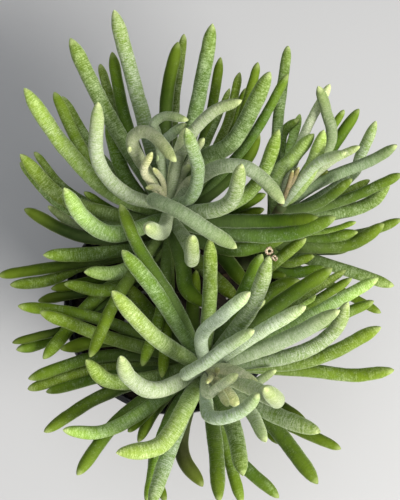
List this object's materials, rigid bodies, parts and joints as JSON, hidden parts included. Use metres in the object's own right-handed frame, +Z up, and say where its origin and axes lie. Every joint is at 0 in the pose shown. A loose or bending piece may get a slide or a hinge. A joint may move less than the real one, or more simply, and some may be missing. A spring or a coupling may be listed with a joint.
{
  "type": "potted silver coral succulent",
  "caption": "Succulent with finger-like felted leaves spreading from leafy stems, standing in soil in a tapered round nursery pot.",
  "frame": {"origin": "middle of the pot's foot, on the surface that it stands on", "axes": "+Z up along the pot's axis, -Y towards the side seen at the bottom of the picture, +X to its right"},
  "size_m": [0.1941, 0.2117, 0.188],
  "materials": {
    "pot_plastic": "satin black moulded plastic",
    "potting_soil": "dark crumbly potting mix",
    "leaf_felt": "green succulent skin under pale felt that wears off with age"
  },
  "bodies": {
    "root": {"pot": "pot_plastic", "soil": "potting_soil", "stem_back_left": "leaf_felt", "stem_front": "leaf_felt", "stem_back_right": "leaf_felt"}
  },
  "joints": []
}
